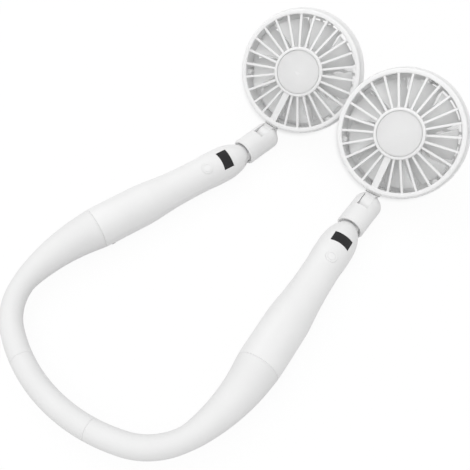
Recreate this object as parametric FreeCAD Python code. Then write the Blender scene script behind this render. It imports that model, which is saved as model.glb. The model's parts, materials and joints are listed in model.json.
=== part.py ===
import FreeCAD, Part
import math
import os

os.makedirs("parts", exist_ok=True)
V = FreeCAD.Vector

# All sizes are in millimetres and all angles in degrees.

# Band path: three tangent arcs and a straight run, right half, mirrored for the left.
BACK_ARC_R = 121.0
BACK_ARC_TURN = 26.5
CORNER_ARC_R = 46.7
CORNER_ARC_TURN = 54.5
SIDE_ARC_R = 128.5
SIDE_ARC_TURN = 21.4
ARM_RUN = 132.5

# Neck tube.
TUBE_R = 7.5
CORE_R = 4.2
CORE_FIT = 0.1
NECK_HALF = 33.0
SEAM_GAP = 0.3
FLARE_FROM = 88.0
FLARE_END_R = 14.4
FLARE_STEPS = 9

# Arm outline, measured from the back end of the arm.
ARM_EDGE = 0.5
ARM_FULL_R = 14.65
ARM_FULL_FROM = 6.0
TAPER_FROM = 34.0
TAPER_TO = 80.0
TAPER_LEAD = 12.0
TAPER_TRAIL = 28.0
WAIST_R = 12.25
WAIST_TO = 84.0
SWELL_TO = 96.0
SWELL_LEAD = 5.0
NOSE_R = 12.8
NOSE_LEN = 24.0
ARM_FRONT_LEN = 49.48
ARM_WALL = 2.0

# Clamp that holds the gooseneck in the back end of the arm.
GOOSE_HOLE_GAP = 0.3
CLAMP_FROM = 3.0
CLAMP_LEN = 6.2
CLAMP_R = 8.0
CLAMP_FIT = 0.15
CLAMP_BORE_FIT = 0.05
END_WALL = 2.2
WIRE_HOLE_R = 1.5

# Battery cell and the bulkhead in front of it.
CELL_R = 9.2
CELL_LEN = 65.0
CELL_END_GAP = 0.2
BULKHEAD = 1.5
BULKHEAD_HOLE_R = 5.0
CAVITY_BEHIND_TIP = 22.48

# Control panel on the arm: board, display and button, turned about the arm axis.
PANEL_TURN_RIGHT = 18.0
PANEL_TURN_LEFT = 26.0
BOARD_DROP = 5.05
BOARD_THICK = 1.2
BOARD_EDGE_GAP = 0.08
BOARD_END_GAP = 1.0
BOARD_FROM_BULKHEAD = 2.5
SWITCH_R = 1.6
SWITCH_HIGH = 1.0
DISPLAY_BEHIND_TIP = 22.5
DISPLAY_LEN = 8.0
DISPLAY_WIDE = 13.5
DISPLAY_BOW = 0.5
WINDOW_THICK = 1.2
WINDOW_FIT = 0.08
MODULE_INSET = 0.25
MODULE_HIGH = 2.6
MODULE_REST = 0.15
BUTTON_BEHIND_TIP = 38.0
BUTTON_R = 4.0
BUTTON_FIT = 0.08
BUTTON_PROUD = 0.15
BUTTON_FLANGE_R = 4.7
BUTTON_FLANGE_THICK = 0.8
BUTTON_FLANGE_DROP = 1.25
BUTTON_TRAVEL = 0.5
BUTTON_STEM_R = 1.3
BUTTON_STEM_LEN = 0.2
GROOVE_WIDE = 0.35
GROOVE_DEEP = 0.25
GROOVE_R = 2.5

# Charging socket on the underside of the arm.
USB_WIDE = 9.0
USB_HIGH = 3.3
USB_DEEP = 6.4
USB_WALL = 0.35
USB_FIT = 0.08
USB_INSET = 0.15
USB_TONGUE_WIDE = 6.4
USB_TONGUE_THICK = 0.7

# Screws that join the two halves of the arm.
ARM_SCREW_R = 1.0
ARM_SCREW_FIT = 0.05
ARM_SCREW_HEAD_R = 1.8
ARM_SCREW_HEAD_HIGH = 1.4
RECESS_FIT = 0.2
BACK_SCREW_AT = 6.0
BACK_SCREW_OUT = 11.2
BACK_SCREW_LOW = 6.5
BACK_SCREW_HIGH = 4.0
FRONT_SCREW_BEHIND_TIP = 19.68
FRONT_SCREW_OUT = 5.5
FRONT_SCREW_LOW = 8.0
FRONT_SCREW_HIGH = 3.0

# Yaw hinge between the arm nose and the link.
YAW_PIN_BEHIND_TIP = 8.5
YAW_PIN_R = 2.0
YAW_PIN_COVER = 2.17
PIN_SEAT_FIT = 0.03
PIN_RUN_FIT = 0.06
TONGUE_R = 7.5
TONGUE_SIDE = 6.4
TONGUE_HALF = 2.9
HINGE_GAP = 0.3
TONGUE_END_GAP = 0.7

# Link between the two hinges.
LINK_R = 10.0
LINK_FROM = 5.5
LINK_OVER_PIN = 6.0
LINK_NOTCH_GAP = 0.35
LINK_BACK_EDGE = 1.0
LINK_FRONT_EDGE = 5.0
LINK_HOLLOW_R = 5.2
LINK_HOLLOW_FROM = 12.0
LINK_HOLLOW_WALL = 2.2
LINK_SCREW_AT = 15.4
LINK_SCREW_OUT = 7.4
LINK_SCREW_R = 0.8
LINK_SCREW_HEAD_R = 1.4
LINK_SCREW_HEAD_HIGH = 1.0
LINK_SCREW_LOW = 3.6
LINK_SCREW_HIGH = 3.0
TILT_PIN_AT = 29.0
TILT_PIN_R = 2.0
TILT_PIN_COVER = 1.75

# Stem that carries the head.
TAB_HALF = 3.9
TAB_R = 8.2
TAB_END_GAP = 0.4
TAB_NECK_HALF = 4.3
COLLAR_GAP = 0.35
COLLAR_THICK = 0.5
COLLAR_R = 5.5
SPINDLE_R = 2.6
SPINDLE_END = 0.6
CLIP_WALL_GAP = 0.35
CLIP_THICK = 0.65
CLIP_R = 3.4
CLIP_GROOVE_R = 1.8
CLIP_MOUTH = 0.8
CLIP_FIT = 0.05

# Fan head, measured from the middle of its front ring.
HEAD_R = 45.0
HEAD_STANDOFF = 10.5
HEAD_OVER_STEM = 7.0
BEZEL_LIP = 1.0
BEZEL_SLOPE = 0.9
BEZEL_DEEP = 3.0
BEZEL_EDGE = 1.2
RIM_BULGE_AT = 9.8
RIM_BACK_AT = 21.0
RIM_FRONT_DRAW = 1.1
RIM_BACK_DRAW = 2.4
RIM_WALL = 3.7
STEM_BOSS_R = 5.2
STEM_BOSS_FOOT_R = 7.5
STEM_BOSS_PROUD = 0.2
STEM_POCKET_R = 4.4
SPOKE_COUNT = 26
SPOKE_WIDE = 1.6
BROAD_SPOKE_WIDE = 4.7
SPOKE_THICK = 1.8
SPOKE_OUT_Z = -0.5
SPOKE_IN_Z = 2.6
HUB_R = 17.6
HUB_BACK_Z = 0.6
HUB_FRONT_Z = 4.0
HUB_EDGE = 0.8
BADGE_BORDER = 2.4
BADGE_THICK = 1.2
BADGE_CROWN = 0.4
BADGE_GAP = 0.25
BADGE_FLOOR_GAP = 0.05
COVER_STEP = 0.4
COVER_THICK = 2.0
COVER_RIM_WIDE = 4.2
COVER_EDGE = 0.8
CUP_SIDE = 1.4
CUP_WALL = 1.3
CUP_PROUD = 2.8
CUP_ROTOR_GAP = 3.0
BAR_COUNT = 28
BAR_WIDE = 2.0
BAR_LEAN = 42.0
MOTOR_R = 10.5
MOTOR_FIT = 0.1
MOTOR_ROTOR_GAP = 2.2
SHAFT_R = 1.0
SHAFT_SINK = 4.0
SHAFT_FIT = 0.05
HEAD_SCREW_COUNT = 3
HEAD_SCREW_INSET = 1.1
HEAD_SCREW_R = 0.9
HEAD_SCREW_HEAD_R = 1.8
HEAD_SCREW_HEAD_HIGH = 1.0
HEAD_SCREW_LEN = 6.0
HEAD_SCREW_TIP_GAP = 1.0
HEAD_BOSS_R = 2.0
HEAD_BOSS_FRONT_Z = -6.5
SCREW_FIT = 0.05

# Impeller.
ROTOR_SKIRT_GAP = 1.7
ROTOR_WALL = 1.3
ROTOR_FRONT_Z = -4.2
ROTOR_BACK_Z = -14.0
ROTOR_EDGE = 1.0
BLADE_COUNT = 9
BLADE_TIP_GAP = 0.7
BLADE_DROP = 0.9
BLADE_ROOT_CHORD = 12.4
BLADE_TIP_CHORD = 27.0
BLADE_ROOT_PITCH = 44.0
BLADE_TIP_PITCH = 24.0
BLADE_SWEEP = 16.0
BLADE_THICK = 1.2

# Amount by which merged solids run into each other.
MERGE = 0.6

# Pose in which the fan lies: hinge angles at rest and the dip of the arms.
YAW_RIGHT = -4.3
YAW_LEFT = 9.5
TILT_RIGHT = 47.4
TILT_LEFT = 50.0
TURN_RIGHT = 5.3
TURN_LEFT = 19.5
REST_DIP = 1.6

ARCS = (
    (BACK_ARC_R, BACK_ARC_TURN),
    (CORNER_ARC_R, CORNER_ARC_TURN),
    (SIDE_ARC_R, SIDE_ARC_TURN),
)
ARC_TOTAL = sum(radius * math.radians(turn) for radius, turn in ARCS)

# Places along the arm that follow from the sizes.
CLAMP_TO = CLAMP_FROM + CLAMP_LEN + 2 * CELL_END_GAP
CELL_FROM = CLAMP_TO + END_WALL
BULKHEAD_FROM = CELL_FROM + CELL_LEN + CELL_END_GAP
ARM_LEN = BULKHEAD_FROM + ARM_FRONT_LEN
ARM_FROM = ARC_TOTAL + ARM_RUN - ARM_LEN
CAVITY_TO = ARM_LEN - CAVITY_BEHIND_TIP
DISPLAY_AT = ARM_LEN - DISPLAY_BEHIND_TIP
BUTTON_AT = ARM_LEN - BUTTON_BEHIND_TIP
YAW_PIN_AT = ARM_LEN - YAW_PIN_BEHIND_TIP
NOSE_FROM = ARM_LEN - NOSE_LEN
FRONT_SCREW_AT = ARM_LEN - FRONT_SCREW_BEHIND_TIP
ROOM_R = WAIST_R - ARM_WALL
BOARD_LOW = ROOM_R - BOARD_DROP
BOARD_TOP = BOARD_LOW + BOARD_THICK
BOARD_HALF = math.sqrt((ROOM_R - BOARD_EDGE_GAP) ** 2 - BOARD_TOP ** 2)
BOARD_FROM = BULKHEAD_FROM + BULKHEAD + BOARD_FROM_BULKHEAD
BOARD_TO = CAVITY_TO - BOARD_END_GAP
BUTTON_FLANGE_TOP = ROOM_R - BUTTON_FLANGE_DROP

# Hinge sizes that follow from the nose of the arm.
SLOT_HALF = TONGUE_HALF + HINGE_GAP
NOSE_SLOT_R = TONGUE_R + TONGUE_END_GAP
NOSE_AT_PIN_R = NOSE_R * math.sqrt(1 - (1 - YAW_PIN_BEHIND_TIP / NOSE_LEN) ** 2)
YAW_PIN_HALF = NOSE_AT_PIN_R - YAW_PIN_COVER
LINK_NOTCH_R = NOSE_AT_PIN_R + LINK_NOTCH_GAP
LINK_TO = TILT_PIN_AT + LINK_OVER_PIN
TILT_PIN_HALF = LINK_R - TILT_PIN_COVER
TAB_SLOT_FROM = TILT_PIN_AT - TAB_R - TAB_END_GAP
LINK_HOLLOW_TO = TAB_SLOT_FROM - LINK_HOLLOW_WALL

# Head sizes that follow from its radius.
HEAD_FROM_PIN = HEAD_R + HEAD_STANDOFF
RIM_IN_R = HEAD_R - RIM_WALL
RIM_BACK_R = HEAD_R - RIM_BACK_DRAW
BEZEL_BACK_R = HEAD_R - RIM_FRONT_DRAW
BEZEL_FRONT_R = BEZEL_BACK_R - BEZEL_SLOPE
BEZEL_IN_R = RIM_IN_R - BEZEL_LIP
STEM_BOSS_TO = HEAD_R + STEM_BOSS_PROUD
COLLAR_FROM = HEAD_FROM_PIN - STEM_BOSS_TO - COLLAR_GAP - COLLAR_THICK
CLIP_AT = HEAD_FROM_PIN - RIM_IN_R + CLIP_WALL_GAP
SPINDLE_TO = CLIP_AT + CLIP_THICK + SPINDLE_END
BADGE_R = HUB_R - BADGE_BORDER
COVER_R = RIM_BACK_R - COVER_STEP
COVER_IN_R = COVER_R - COVER_RIM_WIDE
COVER_BACK_Z = -RIM_BACK_AT - COVER_THICK
HEAD_SCREW_AT_R = RIM_IN_R - HEAD_SCREW_INSET
BLADE_TIP_R = HEAD_SCREW_AT_R - HEAD_BOSS_R - BLADE_TIP_GAP
ROTOR_HUB_R = MOTOR_R + ROTOR_SKIRT_GAP + ROTOR_WALL
ROTOR_PLATE_Z = ROTOR_FRONT_Z - 2 * ROTOR_WALL
BLADE_MID_Z = (ROTOR_FRONT_Z + ROTOR_BACK_Z) / 2 - BLADE_DROP
MOTOR_FRONT_Z = ROTOR_PLATE_Z - MOTOR_ROTOR_GAP
CUP_R = MOTOR_R + MOTOR_FIT + CUP_SIDE
CUP_FRONT_Z = ROTOR_BACK_Z - CUP_ROTOR_GAP
CUP_BACK_Z = COVER_BACK_Z - CUP_PROUD

# Reach of the cutting tools and the main directions.
FAR = 100.0
EX = V(1, 0, 0)
EY = V(0, 1, 0)
EZ = V(0, 0, 1)
ZERO = V(0, 0, 0)


# Path of the band.

def band_point(s):
    """Point and heading of the right half of the band at length s."""
    x = 0.0
    y = 0.0
    a = 0.0
    for radius, turn in ARCS:
        step = min(s, radius * math.radians(turn))
        b = a + step / radius
        x += radius * (math.sin(b) - math.sin(a))
        y += radius * (math.cos(a) - math.cos(b))
        a = b
        s -= step
    x += s * math.cos(a)
    y += s * math.sin(a)
    return V(x, y, 0), V(math.cos(a), math.sin(a), 0)


def band_edges(start, end):
    """Edges of the path between two lengths."""
    marks = [0.0]
    for radius, turn in ARCS:
        marks.append(marks[-1] + radius * math.radians(turn))
    marks.append(end + 1.0)
    edges = []
    for i in range(len(marks) - 1):
        low = max(start, marks[i])
        high = min(end, marks[i + 1])
        if high - low < 0.001:
            continue
        first = band_point(low)[0]
        last = band_point(high)[0]
        if i < len(ARCS):
            middle = band_point((low + high) / 2)[0]
            edges.append(Part.Arc(first, middle, last).toShape())
        else:
            edges.append(Part.makeLine(first, last))
    return edges


def ring_wire(s, radius):
    """Circle round the path at length s."""
    point, heading = band_point(s)
    return Part.Wire([Part.Circle(point, heading, radius).toShape()])


def tube(start, end, radius):
    """Round rod along the path."""
    path = Part.Wire(band_edges(start, end))
    return path.makePipeShell([ring_wire(start, radius)], True, True)


def flare_radius(s):
    """Radius of the sleeve at length s."""
    if s <= FLARE_FROM:
        return TUBE_R
    part = (s - FLARE_FROM) / (ARM_FROM - FLARE_FROM)
    return TUBE_R + (FLARE_END_R - TUBE_R) * part


# Small shape helpers.

def rod(radius, start, end):
    """Cylinder between two points."""
    along = end.sub(start)
    return Part.makeCylinder(radius, along.Length, start, along)


def block(x0, x1, y0, y1, z0, z1):
    """Box between two corners."""
    return Part.makeBox(x1 - x0, y1 - y0, z1 - z0, V(x0, y0, z0))


def lathe(points, axis):
    """Solid of revolution from straight edges through the points."""
    wire = Part.makePolygon(list(points) + [points[0]])
    return Part.Face(wire).revolve(ZERO, axis, 360)


def one(shape):
    """The single solid of a shape, or the shape when it holds several."""
    if len(shape.Solids) == 1:
        return shape.Solids[0]
    return Part.makeCompound(shape.Solids)


def turned(shape, axis, angle):
    """Copy turned about an axis through the origin."""
    copy = shape.copy()
    copy.rotate(ZERO, axis, angle)
    return copy


def shifted(shape, offset):
    """Copy moved by an offset."""
    copy = shape.copy()
    copy.translate(offset)
    return copy


# Band.

def neck_sleeve():
    """Silicone tube round the back of the neck."""
    bore = CORE_R + CORE_FIT
    half = tube(0, NECK_HALF, TUBE_R).cut(tube(0, NECK_HALF, bore))
    return one(half.fuse(half.mirror(ZERO, EX)).removeSplitter())


def neck_core():
    """Middle run of the gooseneck rod."""
    half = tube(0, NECK_HALF, CORE_R)
    return one(half.fuse(half.mirror(ZERO, EX)).removeSplitter())


def flex_sleeve():
    """Silicone sleeve that widens from the tube to the arm."""
    start = NECK_HALF + SEAM_GAP
    end = ARM_FROM - SEAM_GAP
    straight = tube(start, FLARE_FROM, TUBE_R)
    rings = []
    for i in range(FLARE_STEPS + 1):
        s = FLARE_FROM + (end - FLARE_FROM) * i / FLARE_STEPS
        rings.append(ring_wire(s, flare_radius(s)))
    flare = Part.makeLoft(rings, True, False)
    bore = tube(start - 1, end + 1, CORE_R + CORE_FIT)
    return one(straight.fuse(flare).cut(bore))


def gooseneck():
    """Bendable rod inside the sleeve, ending in the arm clamp."""
    end = ARM_FROM + CLAMP_FROM + CLAMP_LEN
    return one(tube(NECK_HALF + SEAM_GAP, end, CORE_R))


# Arm, built along +Y from its back end with the panel facing +Z.

def curve(poles):
    """Smooth edge from its control points."""
    bezier = Part.BezierCurve()
    bezier.setPoles(poles)
    return bezier.toShape()


def arm_body(inset):
    """Outer form of the arm, drawn in by an inset."""
    full = ARM_FULL_R - inset
    back = FLARE_END_R - inset
    waist = WAIST_R - inset
    nose = NOSE_R - inset
    tip = ARM_LEN - inset
    centre = V(0, NOSE_FROM, 0)
    oval = Part.Ellipse(V(0, tip, 0), V(nose, NOSE_FROM, 0), centre)
    dome = Part.ArcOfEllipse(oval, 0, math.pi / 2).toShape()
    taper = curve([
        V(full, TAPER_FROM, 0),
        V(full, TAPER_FROM + TAPER_LEAD, 0),
        V(waist, TAPER_TO - TAPER_TRAIL, 0),
        V(waist, TAPER_TO, 0),
    ])
    swell = curve([
        V(waist, WAIST_TO, 0),
        V(waist, WAIST_TO + SWELL_LEAD, 0),
        V(nose, SWELL_TO - SWELL_LEAD, 0),
        V(nose, SWELL_TO, 0),
    ])
    edges = [
        Part.makeLine(ZERO, V(back - ARM_EDGE, 0, 0)),
        Part.makeLine(V(back - ARM_EDGE, 0, 0), V(back, ARM_EDGE, 0)),
        Part.makeLine(V(back, ARM_EDGE, 0), V(full, ARM_FULL_FROM, 0)),
        Part.makeLine(V(full, ARM_FULL_FROM, 0), V(full, TAPER_FROM, 0)),
        taper,
        Part.makeLine(V(waist, TAPER_TO, 0), V(waist, WAIST_TO, 0)),
        swell,
        Part.makeLine(V(nose, SWELL_TO, 0), V(nose, NOSE_FROM, 0)),
        dome,
        Part.makeLine(V(0, tip, 0), ZERO),
    ]
    wire = Part.Wire(Part.__sortEdges__(edges))
    return Part.Face(wire).revolve(ZERO, EY, 360)


def display_outline(grow):
    """Upright prism with the outline of the display."""
    x = DISPLAY_WIDE / 2 + grow
    back = DISPLAY_AT - DISPLAY_LEN / 2 - grow
    front = DISPLAY_AT + DISPLAY_LEN / 2 + grow
    z = BOARD_LOW
    rear = Part.Arc(V(-x, back, z), V(0, back + DISPLAY_BOW, z), V(x, back, z))
    edges = [
        rear.toShape(),
        Part.makeLine(V(x, back, z), V(x, front, z)),
        Part.makeLine(V(x, front, z), V(-x, front, z)),
        Part.makeLine(V(-x, front, z), V(-x, back, z)),
    ]
    return Part.Face(Part.Wire(edges)).extrude(V(0, 0, FAR))


def screw_spots():
    """Place, low end and high end of each arm screw."""
    spots = []
    for side in (-1, 1):
        spots.append((side * BACK_SCREW_OUT, BACK_SCREW_AT, BACK_SCREW_LOW, BACK_SCREW_HIGH))
        spots.append((side * FRONT_SCREW_OUT, FRONT_SCREW_AT, FRONT_SCREW_LOW, FRONT_SCREW_HIGH))
    return spots


def usb_form(grow, deep):
    """Rounded bar shaped like the mouth of the socket, growing from the underside."""
    half = USB_WIDE / 2 - USB_HIGH / 2
    r = USB_HIGH / 2 + grow
    top = -NOSE_R + deep
    shape = block(-half, half, BUTTON_AT - r, BUTTON_AT + r, -FAR, top)
    for side in (-1, 1):
        x = side * half
        shape = shape.fuse(rod(r, V(x, BUTTON_AT, -FAR), V(x, BUTTON_AT, top)))
    return shape


def arm_shell(panel_turn):
    """Both halves of the arm shell as one solid, before the split."""
    inner = arm_body(ARM_WALL)
    shell = arm_body(0)
    start = CELL_FROM - CELL_END_GAP
    shell = shell.cut(inner.common(block(-FAR, FAR, start, BULKHEAD_FROM, -FAR, FAR)))
    front = BULKHEAD_FROM + BULKHEAD
    shell = shell.cut(inner.common(block(-FAR, FAR, front, CAVITY_TO, -FAR, FAR)))
    cuts = [
        rod(BULKHEAD_HOLE_R, V(0, BULKHEAD_FROM - 1, 0), V(0, front + 1, 0)),
        rod(CORE_R + GOOSE_HOLE_GAP, V(0, -1, 0), V(0, CLAMP_FROM + 1, 0)),
        rod(CLAMP_R + CLAMP_FIT, V(0, CLAMP_FROM, 0), V(0, CLAMP_TO, 0)),
        rod(WIRE_HOLE_R, V(0, CLAMP_TO - 1, 0), V(0, start + 1, 0)),
        turned(display_pocket(), EY, panel_turn),
        turned(button_hole(), EY, panel_turn),
        usb_form(USB_FIT, USB_DEEP + USB_FIT),
        rod(
            YAW_PIN_R + PIN_SEAT_FIT,
            V(0, YAW_PIN_AT, -YAW_PIN_HALF - PIN_SEAT_FIT),
            V(0, YAW_PIN_AT, YAW_PIN_HALF + PIN_SEAT_FIT),
        ),
        nose_slot(),
    ]
    for x, y, low, high in screw_spots():
        cuts.append(rod(ARM_SCREW_R + ARM_SCREW_FIT, V(x, y, -low - 1), V(x, y, high + RECESS_FIT)))
        cuts.append(rod(ARM_SCREW_HEAD_R + RECESS_FIT, V(x, y, -FAR), V(x, y, -low)))
    for tool in cuts:
        shell = shell.cut(tool)
    return shell


def display_pocket():
    """Space in the nose for the display and its window."""
    low = BOARD_TOP + MODULE_REST / 2
    return display_outline(WINDOW_FIT).common(block(-FAR, FAR, 0, FAR + ARM_LEN, low, FAR))


def button_hole():
    """Guide hole of the button."""
    return rod(BUTTON_R + BUTTON_FIT, V(0, BUTTON_AT, BOARD_LOW), V(0, BUTTON_AT, FAR))


def nose_slot():
    """Slot for the tongue of the link, open to the front."""
    at = V(0, YAW_PIN_AT, 0)
    round_end = rod(NOSE_SLOT_R, at - EZ * SLOT_HALF, at + EZ * SLOT_HALF)
    mouth = block(-FAR, FAR, YAW_PIN_AT, YAW_PIN_AT + FAR, -SLOT_HALF, SLOT_HALF)
    return round_end.fuse(mouth)


def battery():
    """Round cell with a raised terminal and chamfered ends."""
    chamfer = ARM_EDGE
    terminal = CELL_R / 3
    shape = lathe([
        V(0, CELL_FROM, 0),
        V(CELL_R - chamfer, CELL_FROM, 0),
        V(CELL_R, CELL_FROM + chamfer, 0),
        V(CELL_R, CELL_FROM + CELL_LEN - chamfer, 0),
        V(CELL_R - chamfer, CELL_FROM + CELL_LEN, 0),
        V(terminal, CELL_FROM + CELL_LEN, 0),
        V(terminal, CELL_FROM + CELL_LEN + chamfer, 0),
        V(0, CELL_FROM + CELL_LEN + chamfer, 0),
    ], EY)
    return one(shape)


def circuit_board():
    """Board with the switch under the button and three parts below it."""
    board = block(-BOARD_HALF, BOARD_HALF, BOARD_FROM, BOARD_TO, BOARD_LOW, BOARD_TOP)
    switch_top = V(0, BUTTON_AT, BOARD_TOP + SWITCH_HIGH)
    board = board.fuse(rod(SWITCH_R, V(0, BUTTON_AT, BOARD_TOP), switch_top))
    chip = (BOARD_TO - BOARD_FROM) / 6
    for i in range(3):
        y = BOARD_FROM + chip * (2 * i + 0.5)
        board = board.fuse(block(-chip, chip / 2, y, y + chip, BOARD_LOW - BOARD_THICK, BOARD_LOW))
    return one(board)


def display_module():
    """Display block under the window."""
    low = BOARD_TOP + MODULE_REST
    slab = block(-FAR, FAR, 0, FAR + ARM_LEN, low, low + MODULE_HIGH)
    return one(display_outline(-MODULE_INSET).common(slab))


def display_window():
    """Curved window that follows the nose of the arm."""
    skin = arm_body(0).cut(arm_body(WINDOW_THICK))
    return one(display_outline(0).common(skin))


def button():
    """Push button whose top follows the arm, with a guide flange and a ring groove."""
    top = BUTTON_FLANGE_TOP
    low = top - BUTTON_FLANGE_THICK
    at = V(0, BUTTON_AT, 0)
    cap = rod(BUTTON_R, at + EZ * (top - 0.1), at + EZ * FAR).common(arm_body(-BUTTON_PROUD))
    shape = cap.fuse(rod(BUTTON_FLANGE_R, at + EZ * low, at + EZ * top))
    shape = shape.fuse(rod(BUTTON_STEM_R, at + EZ * (low - BUTTON_STEM_LEN), at + EZ * low))
    ring = rod(GROOVE_R + GROOVE_WIDE, at + EZ * top, at + EZ * FAR)
    ring = ring.cut(rod(GROOVE_R, at, at + EZ * FAR))
    return one(shape.cut(ring.cut(arm_body(GROOVE_DEEP - BUTTON_PROUD))))


def usb_socket():
    """Charging socket with its tongue."""
    body = usb_form(0, USB_DEEP).common(arm_body(USB_INSET))
    mouth = usb_form(-USB_WALL, USB_DEEP - 2 * USB_WALL)
    tongue = block(
        -USB_TONGUE_WIDE / 2,
        USB_TONGUE_WIDE / 2,
        BUTTON_AT - USB_TONGUE_THICK / 2,
        BUTTON_AT + USB_TONGUE_THICK / 2,
        -NOSE_R + 2 * USB_WALL + 1,
        -NOSE_R + USB_DEEP - USB_WALL,
    )
    return one(body.cut(mouth).fuse(tongue))


def arm_screws():
    """Four screws through the arm shell."""
    screws = []
    for x, y, low, high in screw_spots():
        head = rod(ARM_SCREW_HEAD_R, V(x, y, -low - ARM_SCREW_HEAD_HIGH), V(x, y, -low))
        slot = ARM_SCREW_HEAD_R / 4
        drive = -low - ARM_SCREW_HEAD_HIGH
        head = head.cut(block(x - FAR, x + FAR, y - slot, y + slot, drive - 1, drive + slot))
        screws.append(one(head.fuse(rod(ARM_SCREW_R, V(x, y, -low), V(x, y, high)))))
    return Part.makeCompound(screws)


def yaw_pin():
    """Upright hinge pin in the nose."""
    low = V(0, YAW_PIN_AT, -YAW_PIN_HALF)
    return one(rod(YAW_PIN_R, low, V(0, YAW_PIN_AT, YAW_PIN_HALF)))


def gooseneck_clamp():
    """Collar that grips the end of the rod."""
    start = CLAMP_FROM + CELL_END_GAP
    end = start + CLAMP_LEN
    ring = rod(CLAMP_R, V(0, start, 0), V(0, end, 0))
    return one(ring.cut(rod(CORE_R + CLAMP_BORE_FIT, V(0, start - 1, 0), V(0, end + 1, 0))))


def upper(shape):
    """Half above the split plane."""
    return one(shape.common(block(-FAR, FAR, -FAR, 2 * FAR, 0, FAR)))


def lower(shape):
    """Half below the split plane."""
    return one(shape.common(block(-FAR, FAR, -FAR, 2 * FAR, -FAR, 0)))


# Link, built along +Y from the yaw pin with the tilt pin along X.

def link_shell():
    """Both halves of the link as one solid, before the split."""
    barrel = lathe([
        V(0, LINK_FROM, 0),
        V(LINK_R - LINK_BACK_EDGE, LINK_FROM, 0),
        V(LINK_R, LINK_FROM + LINK_BACK_EDGE, 0),
        V(LINK_R, LINK_TO, 0),
        V(0, LINK_TO, 0),
    ], EY)
    front = [e for e in barrel.Edges if abs(e.CenterOfMass.y - LINK_TO) < 0.01 and e.Length > LINK_R]
    barrel = barrel.makeFillet(LINK_FRONT_EDGE, front)
    barrel = barrel.cut(Part.makeSphere(LINK_NOTCH_R))
    tongue = rod(TONGUE_R, V(0, 0, -TONGUE_HALF), V(0, 0, TONGUE_HALF))
    reach = LINK_NOTCH_R + MERGE
    tongue = tongue.fuse(block(-TONGUE_SIDE, TONGUE_SIDE, 0, reach, -TONGUE_HALF, TONGUE_HALF))
    shell = barrel.fuse(tongue)
    x = TAB_HALF + HINGE_GAP
    hollow = rod(LINK_HOLLOW_R, V(0, LINK_HOLLOW_FROM, 0), V(0, LINK_HOLLOW_TO, 0))
    seat = TILT_PIN_HALF + PIN_SEAT_FIT
    cuts = [
        rod(YAW_PIN_R + PIN_RUN_FIT, V(0, 0, -FAR), V(0, 0, FAR)),
        block(-x, x, TAB_SLOT_FROM, FAR, -FAR, FAR),
        hollow,
        rod(WIRE_HOLE_R, V(0, LINK_HOLLOW_TO - MERGE, 0), V(0, TAB_SLOT_FROM + MERGE, 0)),
        rod(TILT_PIN_R + PIN_SEAT_FIT, V(-seat, TILT_PIN_AT, 0), V(seat, TILT_PIN_AT, 0)),
    ]
    for side in (-1, 1):
        x = side * LINK_SCREW_OUT
        y = LINK_SCREW_AT
        top = V(x, y, LINK_SCREW_HIGH + RECESS_FIT)
        cuts.append(rod(LINK_SCREW_R + SCREW_FIT, V(x, y, -LINK_SCREW_LOW - MERGE), top))
        cuts.append(rod(LINK_SCREW_HEAD_R + RECESS_FIT, V(x, y, -FAR), V(x, y, -LINK_SCREW_LOW)))
    for tool in cuts:
        shell = shell.cut(tool)
    return shell


def link_screws():
    """Two screws through the link."""
    screws = []
    for side in (-1, 1):
        x = side * LINK_SCREW_OUT
        y = LINK_SCREW_AT
        low = -LINK_SCREW_LOW
        head = rod(LINK_SCREW_HEAD_R, V(x, y, low - LINK_SCREW_HEAD_HIGH), V(x, y, low))
        screws.append(one(head.fuse(rod(LINK_SCREW_R, V(x, y, low), V(x, y, LINK_SCREW_HIGH)))))
    return Part.makeCompound(screws)


def tilt_pin():
    """Level hinge pin in the fork of the link."""
    left = V(-TILT_PIN_HALF, TILT_PIN_AT, 0)
    return one(rod(TILT_PIN_R, left, V(TILT_PIN_HALF, TILT_PIN_AT, 0)))


# Stem, built along +Y from the tilt pin.

def stem():
    """Tab, collar and spindle of the head."""
    tab = rod(TAB_R, V(-TAB_HALF, 0, 0), V(TAB_HALF, 0, 0))
    neck = block(-TAB_HALF, TAB_HALF, 0, COLLAR_FROM, -TAB_NECK_HALF, TAB_NECK_HALF)
    tab = tab.fuse(neck.common(rod(COLLAR_R, ZERO, V(0, COLLAR_FROM, 0))))
    collar_to = COLLAR_FROM + COLLAR_THICK
    shape = tab.fuse(rod(COLLAR_R, V(0, COLLAR_FROM, 0), V(0, collar_to, 0)))
    shape = shape.fuse(rod(SPINDLE_R, V(0, collar_to, 0), V(0, SPINDLE_TO, 0)))
    groove = rod(FAR, V(0, CLIP_AT - CLIP_FIT, 0), V(0, CLIP_AT + CLIP_THICK + CLIP_FIT, 0))
    groove = groove.cut(rod(CLIP_GROOVE_R, V(0, 0, 0), V(0, SPINDLE_TO, 0)))
    shape = shape.cut(groove)
    hole = TILT_PIN_R + PIN_RUN_FIT
    return one(shape.cut(rod(hole, V(-FAR, 0, 0), V(FAR, 0, 0))))


def stem_clip():
    """Open spring clip on the spindle."""
    ring = rod(CLIP_R, V(0, CLIP_AT, 0), V(0, CLIP_AT + CLIP_THICK, 0))
    inner = CLIP_GROOVE_R + CLIP_FIT
    ring = ring.cut(rod(inner, ZERO, V(0, FAR, 0)))
    mouth = CLIP_GROOVE_R * CLIP_MOUTH
    return one(ring.cut(block(-mouth, mouth, 0, FAR, 0, FAR)))


# Fan head, front facing +Z, stem toward -Y.

def around(count, start):
    """Evenly spaced angles."""
    return [start + 360.0 * i / count for i in range(count)]


def screw_angles():
    """Angles of the screws in the back of the head."""
    return around(HEAD_SCREW_COUNT, 90.0)


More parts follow.
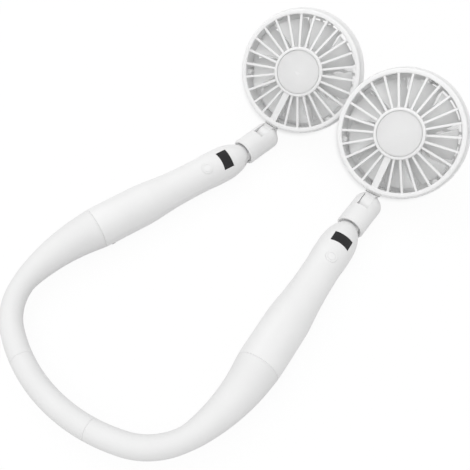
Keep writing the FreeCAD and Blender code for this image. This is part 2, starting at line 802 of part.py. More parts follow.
def rim_housing():
    """Ring wall of the head with the stem boss and screw bosses."""
    outer = Part.Arc(
        V(BEZEL_BACK_R, 0, -BEZEL_DEEP),
        V(HEAD_R, 0, -RIM_BULGE_AT),
        V(RIM_BACK_R, 0, -RIM_BACK_AT),
    ).toShape()
    inner_back = V(RIM_IN_R, 0, -RIM_BACK_AT)
    inner_front = V(RIM_IN_R, 0, -BEZEL_DEEP)
    wire = Part.Wire([
        outer,
        Part.makeLine(V(RIM_BACK_R, 0, -RIM_BACK_AT), inner_back),
        Part.makeLine(inner_back, inner_front),
        Part.makeLine(inner_front, V(BEZEL_BACK_R, 0, -BEZEL_DEEP)),
    ])
    ring = Part.Face(wire).revolve(ZERO, EZ, 360)
    z = -HEAD_OVER_STEM
    rise = STEM_BOSS_TO - RIM_IN_R - MERGE
    foot = V(0, -RIM_IN_R - MERGE, z)
    boss = Part.makeCone(STEM_BOSS_FOOT_R, STEM_BOSS_R, rise, foot, -EY)
    boss = boss.common(block(-FAR, FAR, -FAR, FAR, -FAR, -BEZEL_DEEP))
    ring = ring.fuse(boss)
    for angle in screw_angles():
        low = V(HEAD_SCREW_AT_R, 0, -RIM_BACK_AT)
        post = rod(HEAD_BOSS_R, low, V(HEAD_SCREW_AT_R, 0, HEAD_BOSS_FRONT_Z))
        ring = ring.fuse(turned(post, EZ, angle))
    hole = SPINDLE_R + PIN_RUN_FIT
    inside = V(0, HEAD_BOSS_R - RIM_IN_R, z)
    ring = ring.cut(rod(hole, inside, V(0, -FAR, z)))
    ring = ring.cut(rod(STEM_POCKET_R, inside, V(0, -RIM_IN_R - CLIP_FIT, z)))
    tip = COVER_BACK_Z + HEAD_SCREW_HEAD_HIGH + HEAD_SCREW_LEN + HEAD_SCREW_TIP_GAP
    for angle in screw_angles():
        low = V(HEAD_SCREW_AT_R, 0, -RIM_BACK_AT - 1)
        bore = rod(HEAD_SCREW_R + SCREW_FIT, low, V(HEAD_SCREW_AT_R, 0, tip))
        ring = ring.cut(turned(bore, EZ, angle))
    return one(ring)


def spoke(width):
    """Flat spoke from the ring up to the hub, along +X."""
    outer = BEZEL_IN_R + MERGE
    inner = HUB_R - MERGE
    wire = Part.makePolygon([
        V(inner, -width / 2, SPOKE_IN_Z - SPOKE_THICK),
        V(outer, -width / 2, SPOKE_OUT_Z - SPOKE_THICK),
        V(outer, -width / 2, SPOKE_OUT_Z),
        V(inner, -width / 2, SPOKE_IN_Z),
        V(inner, -width / 2, SPOKE_IN_Z - SPOKE_THICK),
    ])
    return Part.Face(wire).extrude(V(0, width, 0))


def front_grille():
    """Front ring, spokes and hub plate."""
    edge = BEZEL_EDGE
    bezel = lathe([
        V(BEZEL_IN_R, 0, -BEZEL_DEEP),
        V(BEZEL_BACK_R, 0, -BEZEL_DEEP),
        V(BEZEL_BACK_R - edge / 6, 0, -edge),
        V(BEZEL_FRONT_R + edge / 3, 0, -edge / 3),
        V(BEZEL_FRONT_R - edge / 3, 0, 0),
        V(BEZEL_IN_R + edge / 3, 0, 0),
        V(BEZEL_IN_R, 0, -edge / 3),
    ], EZ)
    hub = lathe([
        V(0, 0, HUB_BACK_Z),
        V(HUB_R, 0, HUB_BACK_Z),
        V(HUB_R, 0, HUB_FRONT_Z - HUB_EDGE),
        V(HUB_R - HUB_EDGE / 3, 0, HUB_FRONT_Z - HUB_EDGE / 3),
        V(HUB_R - HUB_EDGE, 0, HUB_FRONT_Z),
        V(0, 0, HUB_FRONT_Z),
    ], EZ)
    pieces = []
    for i, angle in enumerate(around(SPOKE_COUNT, -90.0)):
        width = BROAD_SPOKE_WIDE if i == 0 else SPOKE_WIDE
        pieces.append(turned(spoke(width), EZ, angle))
    grille = bezel.multiFuse([hub] + pieces)
    floor = HUB_FRONT_Z - BADGE_THICK - BADGE_FLOOR_GAP
    pocket = rod(BADGE_R + BADGE_GAP, V(0, 0, floor), V(0, 0, FAR))
    return one(grille.cut(pocket))


def badge_disc():
    """Plain, slightly domed disc in the hub."""
    low = HUB_FRONT_Z - BADGE_THICK
    top = HUB_FRONT_Z + BADGE_CROWN / 2
    ball_r = (BADGE_R ** 2 + BADGE_CROWN ** 2) / (2 * BADGE_CROWN)
    ball = Part.makeSphere(ball_r, V(0, 0, top - ball_r))
    return one(rod(BADGE_R, V(0, 0, low), V(0, 0, top + 1)).common(ball))


def rear_cover():
    """Back cover with leaning bars and the motor cup."""
    back = COVER_BACK_Z
    edge = COVER_EDGE
    ring = lathe([
        V(COVER_IN_R, 0, -RIM_BACK_AT),
        V(COVER_R, 0, -RIM_BACK_AT),
        V(COVER_R, 0, back + edge),
        V(COVER_R - edge, 0, back),
        V(COVER_IN_R, 0, back),
    ], EZ)
    cup = rod(CUP_R, V(0, 0, CUP_BACK_Z), V(0, 0, CUP_FRONT_Z))
    bars = []
    reach = COVER_IN_R + MERGE
    lean = math.radians(BAR_LEAN)
    root = CUP_R - CUP_WALL / 2
    offset = root * math.sin(lean)
    near = root * math.cos(lean)
    far = math.sqrt(reach * reach - offset * offset)
    for angle in around(BAR_COUNT, 0.0):
        bar = block(near, far, offset - BAR_WIDE / 2, offset + BAR_WIDE / 2, back, -RIM_BACK_AT)
        bars.append(turned(bar, EZ, angle))
    cover = ring.multiFuse([cup] + bars)
    bore = MOTOR_R + MOTOR_FIT
    cover = cover.cut(rod(bore, V(0, 0, CUP_BACK_Z + CUP_WALL), V(0, 0, FAR)))
    for angle in screw_angles():
        foot = V(HEAD_SCREW_AT_R, 0, -FAR)
        hole = rod(HEAD_SCREW_R + SCREW_FIT, foot, V(HEAD_SCREW_AT_R, 0, 0))
        seat = V(HEAD_SCREW_AT_R, 0, back + HEAD_SCREW_HEAD_HIGH)
        sink = rod(HEAD_SCREW_HEAD_R + RECESS_FIT / 2, foot, seat)
        cover = cover.cut(turned(hole.fuse(sink), EZ, angle))
    return one(cover)


def motor():
    """Round motor can with a bearing hole."""
    back = CUP_BACK_Z + CUP_WALL + MOTOR_FIT
    edge = ARM_EDGE
    can = lathe([
        V(0, 0, back),
        V(MOTOR_R, 0, back),
        V(MOTOR_R, 0, MOTOR_FRONT_Z - edge),
        V(MOTOR_R - edge, 0, MOTOR_FRONT_Z),
        V(0, 0, MOTOR_FRONT_Z),
    ], EZ)
    low = V(0, 0, MOTOR_FRONT_Z - SHAFT_SINK - SHAFT_FIT)
    return one(can.cut(rod(SHAFT_R + SHAFT_FIT, low, V(0, 0, 0))))


def head_screws():
    """Screws through the back cover into the rim."""
    screws = []
    back = COVER_BACK_Z
    x = HEAD_SCREW_AT_R
    seat = back + HEAD_SCREW_HEAD_HIGH
    for angle in screw_angles():
        head = rod(HEAD_SCREW_HEAD_R, V(x, 0, back), V(x, 0, seat))
        shank = rod(HEAD_SCREW_R, V(x, 0, seat), V(x, 0, seat + HEAD_SCREW_LEN))
        screws.append(turned(one(head.fuse(shank)), EZ, angle))
    return Part.makeCompound(screws)


def blade():
    """One twisted blade along +X, before trimming."""
    rings = []
    stations = 4
    root = ROTOR_HUB_R - ROTOR_WALL - MERGE
    end = BLADE_TIP_R + BLADE_TIP_CHORD / 8
    for i in range(stations):
        part = i / (stations - 1)
        radius = root + (end - root) * part
        chord = BLADE_ROOT_CHORD + (BLADE_TIP_CHORD - BLADE_ROOT_CHORD) * part
        pitch = math.radians(BLADE_ROOT_PITCH + (BLADE_TIP_PITCH - BLADE_ROOT_PITCH) * part)
        along = V(0, math.cos(pitch), math.sin(pitch)) * (chord / 2)
        up = V(0, -math.sin(pitch), math.cos(pitch)) * (BLADE_THICK / 2)
        centre = V(radius, 0, BLADE_MID_Z)
        corners = [
            centre + along + up,
            centre - along + up,
            centre - along - up,
            centre + along - up,
        ]
        loop = Part.makePolygon(corners + [corners[0]])
        rings.append(turned(loop, EZ, BLADE_SWEEP * part))
    return Part.makeLoft(rings, True, False)


def impeller():
    """Hub cup with its blades."""
    edge = ROTOR_EDGE
    cup = lathe([
        V(0, 0, ROTOR_BACK_Z),
        V(ROTOR_HUB_R, 0, ROTOR_BACK_Z),
        V(ROTOR_HUB_R, 0, ROTOR_FRONT_Z - edge),
        V(ROTOR_HUB_R - edge, 0, ROTOR_FRONT_Z),
        V(0, 0, ROTOR_FRONT_Z),
    ], EZ)
    limit = rod(BLADE_TIP_R, V(0, 0, -FAR), V(0, 0, FAR))
    first = blade().common(limit)
    blades = [turned(first, EZ, angle) for angle in around(BLADE_COUNT, 0.0)]
    rotor = cup.multiFuse(blades)
    rotor = rotor.cut(rod(ROTOR_HUB_R - ROTOR_WALL, V(0, 0, -FAR), V(0, 0, ROTOR_PLATE_Z)))
    return one(rotor.cut(rod(SHAFT_R, V(0, 0, -FAR), V(0, 0, ROTOR_FRONT_Z - ROTOR_WALL))))


def motor_shaft():
    """Shaft between the motor and the impeller."""
    low = V(0, 0, MOTOR_FRONT_Z - SHAFT_SINK)
    return one(rod(SHAFT_R, low, V(0, 0, ROTOR_FRONT_Z - ROTOR_WALL)))


# Placement of the parts on each side.

def placement(origin, x_axis, y_axis, z_axis):
    """Matrix with the given origin and axes."""
    return FreeCAD.Matrix(
        x_axis.x, y_axis.x, z_axis.x, origin.x,
        x_axis.y, y_axis.y, z_axis.y, origin.y,
        x_axis.z, y_axis.z, z_axis.z, origin.z,
        0, 0, 0, 1,
    )


def spun(vector, axis, angle):
    """Vector turned about an axis."""
    return FreeCAD.Rotation(axis, angle).multVec(vector)


def side_frames(side):
    """Frames of the arm, link, stem and head on one side."""
    start, heading = band_point(ARM_FROM)
    if side == "left":
        start = V(-start.x, start.y, 0)
        heading = V(-heading.x, heading.y, 0)
    yaw = YAW_LEFT if side == "left" else YAW_RIGHT
    tilt = TILT_LEFT if side == "left" else TILT_RIGHT
    turn = TURN_LEFT if side == "left" else TURN_RIGHT
    out = heading.cross(EZ)
    pin1 = start + heading * YAW_PIN_AT
    reach = spun(heading, EZ, yaw)
    across = reach.cross(EZ)
    pin2 = pin1 + reach * TILT_PIN_AT
    rise = spun(reach, across, tilt)
    face0 = spun(EZ, across, tilt)
    face = spun(face0, rise, turn)
    centre = pin2 + rise * HEAD_FROM_PIN + face * HEAD_OVER_STEM
    return {
        "arm": placement(start, out, heading, EZ),
        "link": placement(pin1, across, reach, EZ),
        "stem": placement(pin2, across, rise, face0),
        "head": placement(centre, rise.cross(face), rise, face),
    }


def panel(shape, panel_turn):
    """Shape turned with the control panel about the arm axis."""
    return turned(shape, EY, panel_turn)


def build_all():
    """All parts in the frame of the band."""
    shapes = {"neck_sleeve": neck_sleeve(), "neck_core": neck_core()}
    sleeve = flex_sleeve()
    rod_part = gooseneck()
    shapes["flex_sleeve_right"] = sleeve
    shapes["flex_sleeve_left"] = one(sleeve.mirror(ZERO, EX))
    shapes["gooseneck_right"] = rod_part
    shapes["gooseneck_left"] = one(rod_part.mirror(ZERO, EX))
    link = link_shell()
    common = {
        "battery": ("arm", battery()),
        "arm_screws": ("arm", arm_screws()),
        "usb_socket": ("arm", usb_socket()),
        "yaw_pin": ("arm", yaw_pin()),
        "gooseneck_clamp": ("arm", gooseneck_clamp()),
        "link_shell_top": ("link", upper(link)),
        "link_shell_bottom": ("link", lower(link)),
        "link_screws": ("link", link_screws()),
        "tilt_pin": ("link", tilt_pin()),
        "stem": ("stem", stem()),
        "stem_clip": ("stem", stem_clip()),
        "rim_housing": ("head", rim_housing()),
        "front_grille": ("head", front_grille()),
        "badge_disc": ("head", badge_disc()),
        "rear_cover": ("head", rear_cover()),
        "motor": ("head", motor()),
        "head_screws": ("head", head_screws()),
        "impeller": ("head", impeller()),
        "motor_shaft": ("head", motor_shaft()),
    }
    board = circuit_board()
    module = display_module()
    window = display_window()
    key = button()
    for side in ("left", "right"):
        frames = side_frames(side)
        panel_turn = PANEL_TURN_LEFT if side == "left" else PANEL_TURN_RIGHT
        shell = arm_shell(panel_turn)
        parts = dict(common)
        parts["arm_shell_top"] = ("arm", upper(shell))
        parts["arm_shell_bottom"] = ("arm", lower(shell))
        parts["circuit_board"] = ("arm", panel(board, panel_turn))
        parts["display_module"] = ("arm", panel(module, panel_turn))
        parts["display_window"] = ("arm", panel(window, panel_turn))
        parts["button"] = ("arm", panel(key, panel_turn))
        for name, (frame, shape) in parts.items():
            shapes[name + "_" + side] = shape.transformed(frames[frame], True)
    return shapes


def lying_matrix(shapes):
    """Move from the frame of the band to the lying pose on the ground."""
    dip = FreeCAD.Rotation(EX, -REST_DIP)
    tilt = FreeCAD.Placement(ZERO, dip).toMatrix()
    box = FreeCAD.BoundBox()
    for shape in shapes.values():
        box.add(shape.transformed(tilt, True).optimalBoundingBox(False))
    middle = box.Center
    move = FreeCAD.Matrix()
    move.move(V(-middle.x, -middle.y, -box.ZMin))
    return move.multiply(tilt)


BAND_SHAPES = build_all()
LYING = lying_matrix(BAND_SHAPES)
PARTS = {}
for part_name, part_shape in BAND_SHAPES.items():
    PARTS[part_name] = part_shape.transformed(LYING, True)
    PARTS[part_name].exportStep("parts/" + part_name + ".step")
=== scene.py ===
import bpy
import json
import math
from mathutils import Matrix, Vector


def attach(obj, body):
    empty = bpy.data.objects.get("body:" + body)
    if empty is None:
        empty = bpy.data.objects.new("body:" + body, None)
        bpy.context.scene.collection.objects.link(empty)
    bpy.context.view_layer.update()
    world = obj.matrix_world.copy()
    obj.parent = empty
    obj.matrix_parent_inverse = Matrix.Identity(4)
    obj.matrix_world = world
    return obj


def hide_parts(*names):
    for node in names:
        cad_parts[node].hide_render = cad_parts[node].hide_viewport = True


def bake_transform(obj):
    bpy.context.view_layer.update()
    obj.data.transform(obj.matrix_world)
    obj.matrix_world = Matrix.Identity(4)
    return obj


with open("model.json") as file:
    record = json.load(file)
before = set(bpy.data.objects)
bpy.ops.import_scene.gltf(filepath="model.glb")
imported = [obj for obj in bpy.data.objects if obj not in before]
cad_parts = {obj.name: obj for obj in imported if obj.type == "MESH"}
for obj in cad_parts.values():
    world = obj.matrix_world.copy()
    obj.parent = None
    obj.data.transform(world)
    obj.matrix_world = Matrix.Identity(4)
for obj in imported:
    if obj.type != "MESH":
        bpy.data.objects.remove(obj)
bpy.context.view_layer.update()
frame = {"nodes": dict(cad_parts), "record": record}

scene = bpy.context.scene
SIDES = ("left", "right")
MM = 0.001

# Placement of the band's own frame in the row frame. The band dips from the neck to the arms.
REST_DIP = math.radians(1.6)
BAND_SHIFT = Vector((0.3353162, -158.1903392, 18.4204517)) * MM
BAND = Matrix.Translation(BAND_SHIFT) @ Matrix.Rotation(-REST_DIP, 4, "X")

# Path of the band, right half: radius in millimetres and turn in degrees of each arc.
ARCS = ((121.0, 26.5), (46.7, 54.5), (128.5, 21.4))

# Lengths along that path from the middle of the neck, in millimetres.
NECK_HALF = 33.0
FLARE_FROM = 88.0
ARM_FROM = 154.4
BEND_FROM = 42.0
BEND_TO = 118.0

# Silicone skins, in millimetres. The seams are narrower here than in the CAD.
SEAM_GAP = 0.3
SKIN_GAP = 0.06
TUBE_R = 7.5
FLARE_END_R = 14.4
FLARE_EASE = 0.12
SKIN_EDGE = 0.2
EDGE_CORNER = 0.3 * SKIN_EDGE
NECK_STEP = 2.0
SLEEVE_STEP = 1.6
SKIN_COUNT = 64

# Gooseneck, in millimetres.
CORE_R = 4.2
BORE_R = CORE_R + 0.1
COIL_FROM = NECK_HALF + SEAM_GAP
COIL_TO = ARM_FROM + 9.2
COIL_END_R = 0.8
COIL_PITCH = 2.0
COIL_DEPTH = 0.24
COIL_STEP = 0.5
COIL_COUNT = 24


def band_point(s):
    """Point and heading of the band at length s, in its own frame. A negative s is on the left."""
    x, y, a = 0.0, 0.0, 0.0
    sign = -1 if s < 0 else 1
    s = abs(s)
    for radius, turn in ARCS:
        step = min(s, radius * math.radians(turn))
        b = a + step / radius
        x += radius * (math.sin(b) - math.sin(a))
        y += radius * (math.cos(a) - math.cos(b))
        a = b
        s -= step
    x += s * math.cos(a)
    y += s * math.sin(a)
    return Vector((sign * x, y, 0)) * MM, Vector((math.cos(a), sign * math.sin(a), 0))


def in_row(point, side):
    """Point of the band's frame in the row frame, mirrored for the left side."""
    p = Vector(point)
    if side == "left":
        p.x = -p.x
    return BAND @ p


# Node helpers.

def add_node(tree, kind, values=()):
    """New node, with values on its input sockets."""
    node = tree.nodes.new(kind)
    for socket, value in dict(values).items():
        node.inputs[socket].default_value = value
    return node


def map_range(tree, source, span, ends, smooth=False):
    """Source taken from the span to the ends, and held there."""
    values = {"From Min": span[0], "From Max": span[1], "To Min": ends[0], "To Max": ends[1]}
    node = add_node(tree, "ShaderNodeMapRange", values)
    if smooth:
        node.interpolation_type = "SMOOTHSTEP"
    tree.links.new(source, node.inputs["Value"])
    return node.outputs["Result"]


def math_node(tree, operation, *sources):
    """Result of an operation on sockets and plain numbers."""
    node = tree.nodes.new("ShaderNodeMath")
    node.operation = operation
    for i, source in enumerate(sources):
        if isinstance(source, float):
            node.inputs[i].default_value = source
        else:
            tree.links.new(source, node.inputs[i])
    return node.outputs["Value"]


def vector_node(tree, operation, source, value=None):
    """Vector node that works on a source and, where one is given, a fixed vector."""
    node = tree.nodes.new("ShaderNodeVectorMath")
    node.operation = operation
    tree.links.new(source, node.inputs[0])
    if value is not None:
        node.inputs[1].default_value = value
    return node


def new_material(name):
    """Material with a plain Principled shader on its output."""
    material = bpy.data.materials.new(name)
    material.use_nodes = True
    tree = material.node_tree
    for node in list(tree.nodes):
        if node.type != "OUTPUT_MATERIAL":
            tree.nodes.remove(node)
    shader = tree.nodes.new("ShaderNodeBsdfPrincipled")
    output = [n for n in tree.nodes if n.type == "OUTPUT_MATERIAL"][0]
    tree.links.new(shader.outputs["BSDF"], output.inputs["Surface"])
    return material, tree, shader, output


# Materials.

DRIFT_DETAIL = 3.0
GRAIN_DETAIL = 2.0
NOISE_ROUGH = 0.5
COLOUR_SPAN = (0.32, 0.68)
ROUGH_SPAN = (0.3, 0.7)
RELIEF_DEPTH = 0.0002
EDGE_SAMPLES = 4
MILKY_REACH = 0.004


def noise(tree, scale, detail):
    coord = tree.nodes.new("ShaderNodeTexCoord")
    values = {"Scale": scale, "Detail": detail, "Roughness": NOISE_ROUGH}
    node = add_node(tree, "ShaderNodeTexNoise", values)
    tree.links.new(coord.outputs["Object"], node.inputs["Vector"])
    return node.outputs["Fac"]


def tinted(tree, source, dark, light):
    """Colour between dark and light, by the source."""
    ramp = tree.nodes.new("ShaderNodeValToRGB")
    for element, position, colour in zip(ramp.color_ramp.elements, COLOUR_SPAN, (dark, light)):
        element.position = position
        element.color = (*colour, 1)
    tree.links.new(source, ramp.inputs["Fac"])
    return ramp.outputs["Color"]


def surface(name, dark, light, rough, cloud=45.0, grain=2600.0, bump=0.05, edge=0.00022,
            metal=0.0, specular=0.5, milky=0.0):
    """Moulded or metal surface: colour drift, roughness drift, fine grain and soft edges."""
    material, tree, shader, _ = new_material(name)
    drift = noise(tree, cloud, DRIFT_DETAIL)
    fine = noise(tree, grain, GRAIN_DETAIL)
    tree.links.new(tinted(tree, drift, dark, light), shader.inputs["Base Color"])
    tree.links.new(map_range(tree, drift, ROUGH_SPAN, rough), shader.inputs["Roughness"])
    relief = add_node(tree, "ShaderNodeBump", {"Strength": bump, "Distance": RELIEF_DEPTH})
    tree.links.new(fine, relief.inputs["Height"])
    if edge:
        soft = add_node(tree, "ShaderNodeBevel", {"Radius": edge})
        soft.samples = EDGE_SAMPLES
        tree.links.new(soft.outputs["Normal"], relief.inputs["Normal"])
    tree.links.new(relief.outputs["Normal"], shader.inputs["Normal"])
    shader.inputs["Metallic"].default_value = metal
    shader.inputs["Specular IOR Level"].default_value = specular
    shader.inputs["Subsurface Weight"].default_value = milky
    shader.inputs["Subsurface Radius"].default_value = (1.0, 1.0, 1.0)
    shader.inputs["Subsurface Scale"].default_value = MILKY_REACH
    return material


def grey(value):
    return (value, value, value)


# Dark and light end of the colour, range of roughness, and what differs from a plain moulding.
LOOKS = {
    "silicone_white": dict(dark=grey(0.77), light=grey(0.795), rough=(0.55, 0.66),
                           cloud=38.0, grain=1900.0, bump=0.06, edge=0.0),
    "shell_white": dict(dark=grey(0.80), light=grey(0.825), rough=(0.38, 0.46)),
    "housing_white": dict(dark=grey(0.85), light=grey(0.875), rough=(0.36, 0.44), milky=0.9),
    "grille_white": dict(dark=grey(0.85), light=grey(0.875), rough=(0.34, 0.42),
                         edge=0.0003, milky=0.5),
    "badge_white": dict(dark=grey(0.86), light=grey(0.885), rough=(0.36, 0.42), milky=0.6),
    "blade_white": dict(dark=(0.88, 0.885, 0.883), light=(0.905, 0.91, 0.908),
                        rough=(0.34, 0.42), edge=0.00018, milky=1.0),
    "button_white": dict(dark=grey(0.815), light=grey(0.845), rough=(0.34, 0.42), edge=0.0001),
    "screw_steel": dict(dark=grey(0.42), light=grey(0.52), rough=(0.3, 0.4), metal=1.0),
    "pin_steel": dict(dark=grey(0.6), light=grey(0.68), rough=(0.22, 0.3), metal=1.0),
    "gooseneck_metal": dict(dark=(0.44, 0.44, 0.45), light=(0.54, 0.54, 0.55),
                            rough=(0.3, 0.42), metal=1.0, edge=0.0),
    "clamp_brass": dict(dark=(0.6, 0.46, 0.22), light=(0.7, 0.55, 0.28), rough=(0.28, 0.36),
                        metal=1.0),
    "cell_wrap": dict(dark=(0.05, 0.2, 0.42), light=(0.06, 0.23, 0.47), rough=(0.28, 0.36),
                      edge=0.0),
    "board_green": dict(dark=(0.02, 0.12, 0.05), light=(0.03, 0.16, 0.07), rough=(0.35, 0.5),
                        edge=0.0),
    "display_black": dict(dark=(0.006, 0.006, 0.007), light=(0.012, 0.012, 0.013),
                          rough=(0.4, 0.5)),
    "window_dark": dict(dark=(0.006, 0.006, 0.007), light=(0.010, 0.010, 0.011),
                        rough=(0.2, 0.24), bump=0.01, edge=0.0001, specular=0.35),
    "socket_steel": dict(dark=grey(0.5), light=grey(0.58), rough=(0.28, 0.36), metal=1.0),
    "motor_can": dict(dark=(0.5, 0.5, 0.51), light=(0.6, 0.6, 0.61), rough=(0.3, 0.38),
                      metal=1.0),
}
MATERIALS = {name: surface(name, **look) for name, look in LOOKS.items()}
SLOTS = {part["node"]: part["material_slot"] for part in frame["record"]["subparts"]}

for node_name, node in frame["nodes"].items():
    material = MATERIALS[SLOTS[node_name]]
    if len(node.material_slots) == 0:
        node.data.materials.append(material)
    for slot_item in node.material_slots:
        slot_item.material = material


# Mesh helpers.

def add_object(name, data):
    obj = bpy.data.objects.new(name, data)
    scene.collection.objects.link(obj)
    return obj


def ring_loops(rings, closed):
    """Quads that join rings of equal size, also the last to the first when closed."""
    faces = []
    count = len(rings[0])
    last = len(rings) if closed else len(rings) - 1
    for i in range(last):
        a = i * count
        b = ((i + 1) % len(rings)) * count
        for k in range(count):
            m = (k + 1) % count
            faces.append((a + k, b + k, b + m, a + m))
    return faces


def sweep(name, stations, slot_name, side, count=SKIN_COUNT, hollow=True):
    """Smooth body round the band path. A station is a length and a radius in millimetres."""
    rings = []
    for s, radius in stations:
        centre, heading = band_point(s)
        out = Vector((heading.y, -heading.x, 0))
        ring = []
        for k in range(count):
            angle = 2 * math.pi * k / count
            offset = out * math.cos(angle) + Vector((0, 0, 1)) * math.sin(angle)
            ring.append(in_row(centre + offset * (radius * MM), side))
        rings.append(ring)
    verts = [v for ring in rings for v in ring]
    faces = ring_loops(rings, hollow)
    if not hollow:
        last = len(verts) - count
        faces.append(tuple(reversed(range(count))))
        faces.append(tuple(range(last, last + count)))
    if side == "left":
        faces = [tuple(reversed(f)) for f in faces]
    mesh = bpy.data.meshes.new(name)
    mesh.from_pydata(verts, [], faces)
    mesh.validate()
    mesh.update()
    mesh.shade_smooth()
    obj = add_object(name, mesh)
    mesh.materials.append(MATERIALS[slot_name])
    return obj


def flare_radius(s):
    """Outer radius of the silicone: the tube, then a cone up to the arm with an eased start."""
    if s <= FLARE_FROM:
        return TUBE_R
    part = (s - FLARE_FROM) / (ARM_FROM - FLARE_FROM)
    bend = part * part / (2 * FLARE_EASE) if part < FLARE_EASE else part - FLARE_EASE / 2
    return TUBE_R + (FLARE_END_R - TUBE_R) * min(1.0, bend / (1 - FLARE_EASE / 2))


def skin_stations(start, end, step):
    """Outer skin with rounded ends, then the bore on the way back."""
    stations = [(start, BORE_R), (start, flare_radius(start) - SKIN_EDGE)]
    stations.append((start + EDGE_CORNER, flare_radius(start) - EDGE_CORNER))
    length = end - start - 2 * SKIN_EDGE
    count = int(length / step) + 1
    for i in range(count + 1):
        s = start + SKIN_EDGE + length * i / count
        stations.append((s, flare_radius(s)))
    stations.append((end - EDGE_CORNER, flare_radius(end) - EDGE_CORNER))
    stations += [(end, flare_radius(end) - SKIN_EDGE), (end, BORE_R)]
    for i in range(count - 1, 0, -1):
        stations.append((start + (end - start) * i / count, BORE_R))
    return stations


def coil_stations():
    """Wound rod, as a wave in its radius, with small closed ends."""
    stations = [(COIL_FROM, COIL_END_R)]
    count = int((COIL_TO - COIL_FROM) / COIL_STEP)
    for i in range(count + 1):
        s = COIL_FROM + (COIL_TO - COIL_FROM) * i / count
        wave = 1 + math.cos(2 * math.pi * s / COIL_PITCH)
        stations.append((s, CORE_R - COIL_DEPTH / 2 * wave))
    stations.append((COIL_TO, COIL_END_R))
    return stations


# Silicone neck sleeve and flex sleeves, and the goosenecks inside them.

neck_end = NECK_HALF + (SEAM_GAP - SKIN_GAP) / 2
neck = sweep("neck_sleeve_skin", skin_stations(-neck_end, neck_end, NECK_STEP),
             "silicone_white", "right")
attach(neck, "neckband")
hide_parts("neck_sleeve")
sleeve_stations = skin_stations(neck_end + SKIN_GAP, ARM_FROM - SKIN_GAP, SLEEVE_STEP)
for side in SIDES:
    bend_from = in_row(band_point(BEND_FROM)[0], side)
    bend_to = in_row(band_point(BEND_TO)[0], side)
    skin = sweep("flex_sleeve_skin_" + side, sleeve_stations, "silicone_white", side)
    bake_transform(skin)
    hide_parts("flex_sleeve_" + side)
    rod = sweep("gooseneck_coil_" + side, coil_stations(), "gooseneck_metal", side,
                count=COIL_COUNT, hollow=False)
    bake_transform(rod)
    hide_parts("gooseneck_" + side)


# Camera solved from the photograph: its place and axes in the band's frame, and focal length.

CAMERA_AT = Vector((214.78, -50.86, 423.76)) * MM
CAMERA_RIGHT = Vector((0.71851, 0.69529, -0.01784))
CAMERA_DOWN = Vector((0.55701, -0.59059, -0.5839))
CAMERA_AHEAD = Vector((-0.41652, 0.4096, -0.81163))
SENSOR_WIDTH = 36.0
FOCAL_PIXELS = 760.0
PHOTO_PIXELS = 470.0
CLIP_START = 0.01
CLIP_END = 20.0

camera_at = BAND @ CAMERA_AT
camera_data = bpy.data.cameras.new("camera")
camera_data.sensor_width = SENSOR_WIDTH
camera_data.lens = FOCAL_PIXELS / PHOTO_PIXELS * SENSOR_WIDTH
camera_data.clip_start = CLIP_START
camera_data.clip_end = CLIP_END
camera = add_object("camera", camera_data)
turn = BAND.to_3x3()
axes = Matrix((turn @ CAMERA_RIGHT, -(turn @ CAMERA_DOWN), -(turn @ CAMERA_AHEAD))).transposed()
camera.matrix_world = Matrix.Translation(camera_at) @ axes.to_4x4()
scene.camera = camera


# Floor, with painted shadow ovals behind the heads.

FLOOR_HALF = 3.0
FLOOR_Z = -0.0002
FLOOR_ROUGH = 0.9
FLOOR_WHITE = 0.93
# Floor colour: grey for bounced light and for the painted shade, white to the camera elsewhere.
FLOOR_PAINTED_SHADE_TO_WHITE = (0.68, 0.96)
# Size and soft edge of the painted shadow ovals behind the heads.
HEAD_OPENING = 42.5
PAINTED_SHADOW_EDGE = (0.9, 1.05)
SKY_SAMPLES = 12
SKY_REACH = 0.2
SKY_SPAN = (0.85, 0.99)


def shadow_oval_to_paint(side):
    """Centre and two half axes of the fixed floor oval behind a head at rest, seen from the
    camera, that gets painted shadow.
    """
    node = frame["nodes"]["badge_disc_" + side]
    place = node.matrix_world
    disc_face = max(node.data.polygons, key=lambda face: face.area)
    normal = (place.to_3x3() @ disc_face.normal).normalized()
    points = [place @ v.co for v in node.data.vertices]
    centre = sum(points, Vector()) / len(points)
    first = normal.orthogonal().normalized()
    second = normal.cross(first)
    landed = []
    for direction in (first, -first, second, -second):
        ray = centre + direction * (HEAD_OPENING * MM) - camera_at
        landed.append(camera_at + ray * (camera_at.z / -ray.z))
    middle = sum(landed, Vector()) / 4
    return middle, (landed[0] - landed[1]) / 2, (landed[2] - landed[3]) / 2


def inside_painted_shadow(tree, coord, area):
    """One inside the painted shadow oval, falling softly to zero at its edge."""
    middle, a, b = area
    size = a.x * b.y - a.y * b.x
    rows = (Vector((b.y, -b.x, 0)) / size, Vector((-a.y, a.x, 0)) / size)
    offset = vector_node(tree, "SUBTRACT", coord.outputs["Object"], middle)
    pair = tree.nodes.new("ShaderNodeCombineXYZ")
    for axis, row in zip(("X", "Y"), rows):
        share = vector_node(tree, "DOT_PRODUCT", offset.outputs["Vector"], row)
        tree.links.new(share.outputs["Value"], pair.inputs[axis])
    reach = vector_node(tree, "LENGTH", pair.outputs["Vector"])
    return map_range(tree, reach.outputs["Value"], PAINTED_SHADOW_EDGE, (1.0, 0.0), smooth=True)


def seen_ray(tree, path):
    """One on a ray that shows the background: to the camera, in gloss and through clear pieces."""
    mirrored = math_node(tree, "MAXIMUM", path.outputs["Is Glossy Ray"],
                         path.outputs["Is Transmission Ray"])
    return math_node(tree, "MAXIMUM", path.outputs["Is Camera Ray"], mirrored)


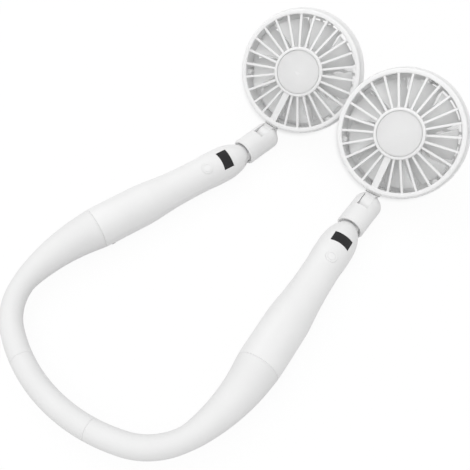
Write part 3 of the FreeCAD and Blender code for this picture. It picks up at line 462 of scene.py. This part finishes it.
def stage_material(name, painted_shadow_ovals):
    """Pale floor, near white to the camera except in fixed ovals behind the heads: where ambient
    occlusion finds the heads above, painted shade darkens its colour and its white drops so the
    real shade shows too.
    """
    material, tree, shader, output = new_material(name)
    shader.inputs["Roughness"].default_value = FLOOR_ROUGH
    glow = add_node(tree, "ShaderNodeEmission", {"Strength": 1.0})
    path = tree.nodes.new("ShaderNodeLightPath")
    sky = add_node(tree, "ShaderNodeAmbientOcclusion", {"Distance": SKY_REACH})
    sky.samples = SKY_SAMPLES
    covered = map_range(tree, sky.outputs["AO"], SKY_SPAN, (1.0, 0.0), smooth=True)
    coord = tree.nodes.new("ShaderNodeTexCoord")
    painted_shadow_masks = [inside_painted_shadow(tree, coord, area) for area in painted_shadow_ovals]
    # Painted shadow: the fixed ovals behind the heads, times the cover that ambient occlusion
    # finds there.
    painted_shade_amount = math_node(tree, "MULTIPLY", math_node(tree, "MAXIMUM", *painted_shadow_masks), covered)
    unpainted_share = math_node(tree, "SUBTRACT", 1.0, painted_shade_amount)
    camera_sees_unpainted = math_node(tree, "MULTIPLY", path.outputs["Is Camera Ray"], unpainted_share)
    # Painted shade: to the camera the floor colour falls from white to grey inside the painted
    # shadow ovals; other rays see the grey everywhere.
    tree.links.new(map_range(tree, camera_sees_unpainted, (0.0, 1.0), FLOOR_PAINTED_SHADE_TO_WHITE),
                   shader.inputs["Base Color"])
    # Less white inside the painted shadow ovals, so the floor's real shade shows there too.
    white = math_node(tree, "MULTIPLY", seen_ray(tree, path), unpainted_share)
    mix = tree.nodes.new("ShaderNodeMixShader")
    tree.links.new(math_node(tree, "MULTIPLY", white, FLOOR_WHITE), mix.inputs["Fac"])
    tree.links.new(shader.outputs["BSDF"], mix.inputs[1])
    tree.links.new(glow.outputs["Emission"], mix.inputs[2])
    tree.links.new(mix.outputs["Shader"], output.inputs["Surface"])
    return material


corners = [(x * FLOOR_HALF, y * FLOOR_HALF, FLOOR_Z)
           for x, y in ((-1, -1), (1, -1), (1, 1), (-1, 1))]
floor_mesh = bpy.data.meshes.new("floor")
floor_mesh.from_pydata(corners, [], [(0, 1, 2, 3)])
floor = add_object("floor", floor_mesh)
floor_mesh.materials.append(stage_material("floor_white_painted_shadow", [shadow_oval_to_paint(side) for side in SIDES]))


# World and lamps. The world lights the object at WORLD_LIGHT and is plain white to look at.

WORLD_LIGHT = 0.76
WORLD_SHOWN = 1.0
LAMP_TARGET = Vector((0, 0, 0.02))

world = bpy.data.worlds.new("studio")
scene.world = world
world.use_nodes = True
world_tree = world.node_tree
world_tree.nodes.clear()
world_out = world_tree.nodes.new("ShaderNodeOutputWorld")
world_mix = world_tree.nodes.new("ShaderNodeMixShader")
for socket, strength in ((1, WORLD_LIGHT), (2, WORLD_SHOWN)):
    light = add_node(world_tree, "ShaderNodeBackground",
                     {"Color": (1.0, 1.0, 1.0, 1.0), "Strength": strength})
    world_tree.links.new(light.outputs["Background"], world_mix.inputs[socket])
world_path = world_tree.nodes.new("ShaderNodeLightPath")
world_tree.links.new(seen_ray(world_tree, world_path), world_mix.inputs["Fac"])
world_tree.links.new(world_mix.outputs["Shader"], world_out.inputs["Surface"])


def area_light(name, place, size, power):
    """Round soft lamp that points at the object."""
    data = bpy.data.lights.new(name, "AREA")
    data.shape = "DISK"
    data.size = size
    data.energy = power
    lamp = add_object(name, data)
    lamp.location = place
    lamp.rotation_mode = "QUATERNION"
    lamp.rotation_quaternion = (LAMP_TARGET - Vector(place)).to_track_quat("-Z", "Y")


area_light("key_light", (-0.75, 0.1, 1.25), 1.0, 3.5)
area_light("fill_light", (0.35, -0.5, 1.5), 1.2, 6.5)

scene.view_settings.view_transform = "Standard"
